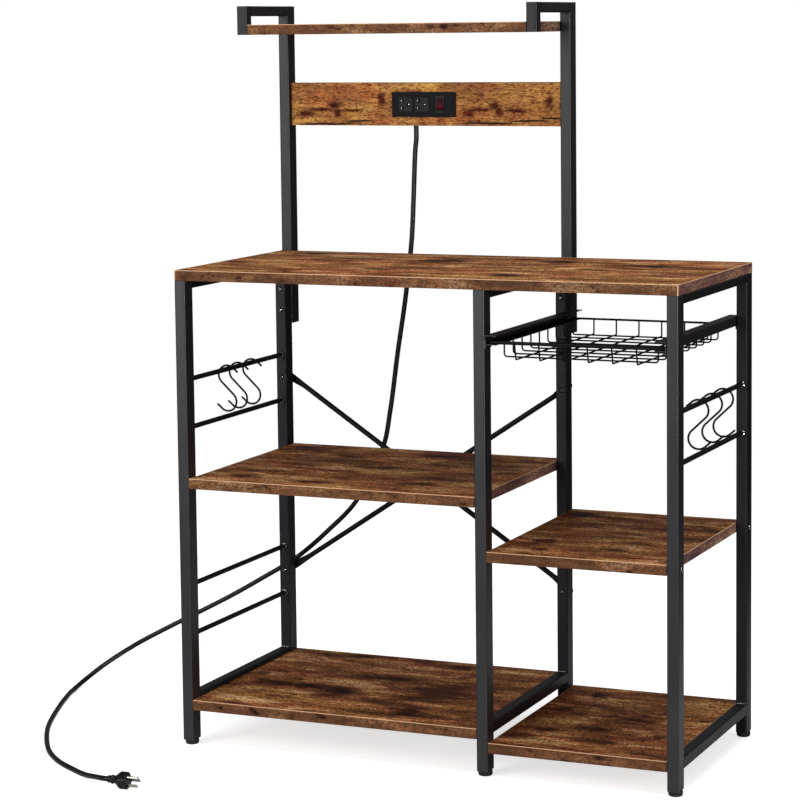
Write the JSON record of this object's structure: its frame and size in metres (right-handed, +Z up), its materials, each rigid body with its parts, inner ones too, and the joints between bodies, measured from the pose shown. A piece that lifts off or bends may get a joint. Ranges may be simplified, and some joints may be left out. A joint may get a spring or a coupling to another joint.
{
  "type": "kitchen rack",
  "caption": "Two-bay kitchen rack of black tube and wood-grain boards, with a raised shelf, socket panel, wire basket and S-hooks.",
  "frame": {"origin": "centre of the rack's bounding box on the floor, the power cord left out", "axes": "+Z up, +X to the right seen from the front, +Y to the back; the front faces -Y"},
  "size_m": [1.2884, 0.7571, 1.279],
  "materials": {
    "black_steel": "satin black powder coat",
    "rustic_board": "rustic brown wood-grain film on particle board",
    "black_plastic": "matt black",
    "dark_plastic": "fine satin black",
    "red_plastic": "glossy translucent red",
    "black_rubber": "satin black moulded jacket",
    "bright_metal": "bright plated"
  },
  "bodies": {
    "rack": {"front_left_post": "black_steel", "rear_left_post": "black_steel", "front_middle_post": "black_steel", "rear_middle_post": "black_steel", "front_right_post": "black_steel", "rear_right_post": "black_steel", "left_top_rail": "black_steel", "middle_top_rail": "black_steel", "right_top_rail": "black_steel", "left_bottom_rail": "black_steel", "middle_bottom_rail": "black_steel", "right_bottom_rail": "black_steel", "left_hook_rung": "black_steel", "left_second_rung": "black_steel", "left_third_rung": "black_steel", "left_fourth_rung": "black_steel", "right_hook_rung": "black_steel", "right_second_rung": "black_steel", "desktop": "rustic_board", "left_shelf": "rustic_board", "right_shelf": "rustic_board", "bottom_left_shelf": "rustic_board", "bottom_right_shelf": "rustic_board", "top_shelf": "rustic_board", "outlet_panel": "rustic_board", "raised_left_upright": "black_steel", "raised_right_upright": "black_steel", "raised_left_arm": "black_steel", "raised_right_arm": "black_steel", "raised_left_drop": "black_steel", "raised_right_drop": "black_steel", "front_brace": "black_steel", "rear_brace": "black_steel", "left_runner": "black_steel", "right_runner": "black_steel", "outlet_housing": "black_plastic", "outlet_plate": "black_plastic", "first_socket": "dark_plastic", "second_socket": "dark_plastic", "switch_frame": "dark_plastic", "strain_relief": "black_plastic", "power_cord": "black_rubber", "power_plug": "black_rubber", "live_blade": "bright_metal", "neutral_blade": "bright_metal", "earth_pin": "bright_metal"},
    "basket": {"wire_basket": "black_steel"},
    "left_front_hook": {"left_hook_front": "black_steel"},
    "left_middle_hook": {"left_hook_middle": "black_steel"},
    "left_rear_hook": {"left_hook_rear": "black_steel"},
    "right_front_hook": {"right_hook_front": "black_steel"},
    "right_middle_hook": {"right_hook_middle": "black_steel"},
    "right_rear_hook": {"right_hook_rear": "black_steel"},
    "rocker": {"switch_rocker": "red_plastic"},
    "foot_front_left": {"front_left_foot": "black_plastic"},
    "foot_rear_left": {"rear_left_foot": "black_plastic"},
    "foot_front_middle": {"front_middle_foot": "black_plastic"},
    "foot_rear_middle": {"rear_middle_foot": "black_plastic"},
    "foot_front_right": {"front_right_foot": "black_plastic"},
    "foot_rear_right": {"rear_right_foot": "black_plastic"}
  },
  "joints": [
    {"name": "basket_slide", "type": "slide", "parent": "rack", "child": "basket", "axis": [0, -1, 0], "range_m": [0, 0.28]},
    {"name": "left_front_hook_swing", "type": "hinge", "parent": "rack", "child": "left_front_hook", "pos_m": [-0.44, -0.061, 0.6387], "axis": [0, 1, 0], "range_deg": [-70, 70]},
    {"name": "left_middle_hook_swing", "type": "hinge", "parent": "rack", "child": "left_middle_hook", "pos_m": [-0.44, -0.019, 0.6387], "axis": [0, 1, 0], "range_deg": [-70, 70]},
    {"name": "left_rear_hook_swing", "type": "hinge", "parent": "rack", "child": "left_rear_hook", "pos_m": [-0.44, 0.034, 0.6387], "axis": [0, 1, 0], "range_deg": [-70, 70]},
    {"name": "right_front_hook_swing", "type": "hinge", "parent": "rack", "child": "right_front_hook", "pos_m": [0.44, -0.095, 0.6217], "axis": [0, 1, 0], "range_deg": [-70, 70]},
    {"name": "right_middle_hook_swing", "type": "hinge", "parent": "rack", "child": "right_middle_hook", "pos_m": [0.44, -0.018, 0.6217], "axis": [0, 1, 0], "range_deg": [-70, 70]},
    {"name": "right_rear_hook_swing", "type": "hinge", "parent": "rack", "child": "right_rear_hook", "pos_m": [0.44, 0.046, 0.6217], "axis": [0, 1, 0], "range_deg": [-70, 70]},
    {"name": "rocker_tip", "type": "hinge", "parent": "rack", "child": "rocker", "pos_m": [-0.131, 0.1902, 1.0995], "axis": [1, 0, 0], "range_deg": [0, 16]},
    {"name": "front_left_foot_turn", "type": "hinge", "parent": "rack", "child": "foot_front_left", "pos_m": [-0.44, -0.219, 0], "axis": [0, 0, 1], "continuous": true},
    {"name": "rear_left_foot_turn", "type": "hinge", "parent": "rack", "child": "foot_rear_left", "pos_m": [-0.44, 0.171, 0], "axis": [0, 0, 1], "continuous": true},
    {"name": "front_middle_foot_turn", "type": "hinge", "parent": "rack", "child": "foot_front_middle", "pos_m": [0.11, -0.219, 0], "axis": [0, 0, 1], "continuous": true},
    {"name": "rear_middle_foot_turn", "type": "hinge", "parent": "rack", "child": "foot_rear_middle", "pos_m": [0.11, 0.171, 0], "axis": [0, 0, 1], "continuous": true},
    {"name": "front_right_foot_turn", "type": "hinge", "parent": "rack", "child": "foot_front_right", "pos_m": [0.44, -0.219, 0], "axis": [0, 0, 1], "continuous": true},
    {"name": "rear_right_foot_turn", "type": "hinge", "parent": "rack", "child": "foot_rear_right", "pos_m": [0.44, 0.171, 0], "axis": [0, 0, 1], "continuous": true}
  ]
}
